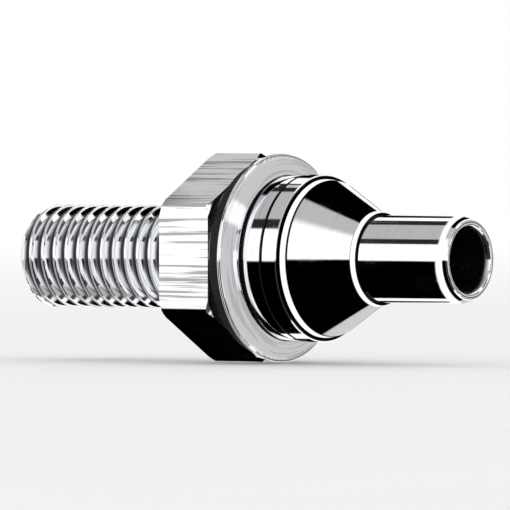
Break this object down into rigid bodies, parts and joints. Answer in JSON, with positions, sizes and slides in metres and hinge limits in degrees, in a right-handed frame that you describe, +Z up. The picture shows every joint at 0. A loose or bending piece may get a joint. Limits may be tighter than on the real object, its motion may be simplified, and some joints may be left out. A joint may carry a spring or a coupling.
{
  "type": "thru hull fitting",
  "caption": "Chromed thru hull fitting: threaded shank with nut, washer and gasket, barrel with a spring-loaded non-return valve, smooth hose spout.",
  "frame": {"origin": "centre of the flange's hull face, on the fitting's axis", "axes": "+X out along the hose spout, -X along the threaded shank, +Z up with two corners of the nut's hexagon on it"},
  "size_m": [0.0611, 0.024, 0.024],
  "materials": {
    "body_chrome": "polished chrome plate on brass",
    "cap_chrome": "polished chrome plate on brass",
    "nut_chrome": "polished chrome plate on brass",
    "washer_chrome": "chrome plate on thin brass",
    "gasket_rubber": "matt",
    "seal_rubber": "satin",
    "valve_brass": "turned",
    "guide_acetal": "moulded, matt",
    "stainless_steel": "drawn wire and turned bar"
  },
  "bodies": {
    "fitting": {"hull_body": "body_chrome", "outlet_cap": "cap_chrome", "hull_gasket": "gasket_rubber", "cap_o_ring": "seal_rubber", "spring_guide": "guide_acetal", "return_spring": "stainless_steel"},
    "washer": {"flat_washer": "washer_chrome"},
    "nut": {"hex_nut": "nut_chrome"},
    "valve": {"valve_poppet": "valve_brass", "poppet_seal": "seal_rubber", "wing_guide": "guide_acetal", "stud_nut": "stainless_steel"}
  },
  "joints": [
    {"name": "washer_slide", "type": "slide", "parent": "fitting", "child": "washer", "axis": [-1, 0, 0], "range_m": [0, 0.0228]},
    {"name": "nut_turn", "type": "hinge", "parent": "washer", "child": "nut", "pos_m": [0, 0, 0], "axis": [-1, 0, 0], "range_deg": [0, 4680]},
    {"name": "poppet_slide", "type": "slide", "parent": "fitting", "child": "valve", "axis": [1, 0, 0], "range_m": [0, 0.0015], "stiffness_N_per_m": 400, "springref_m": -0.0015, "deforming": ["return_spring"]}
  ],
  "couplings": [
    {"joint": "washer_slide", "follows": "nut_turn", "m_per_rad": 0.00027852}
  ]
}
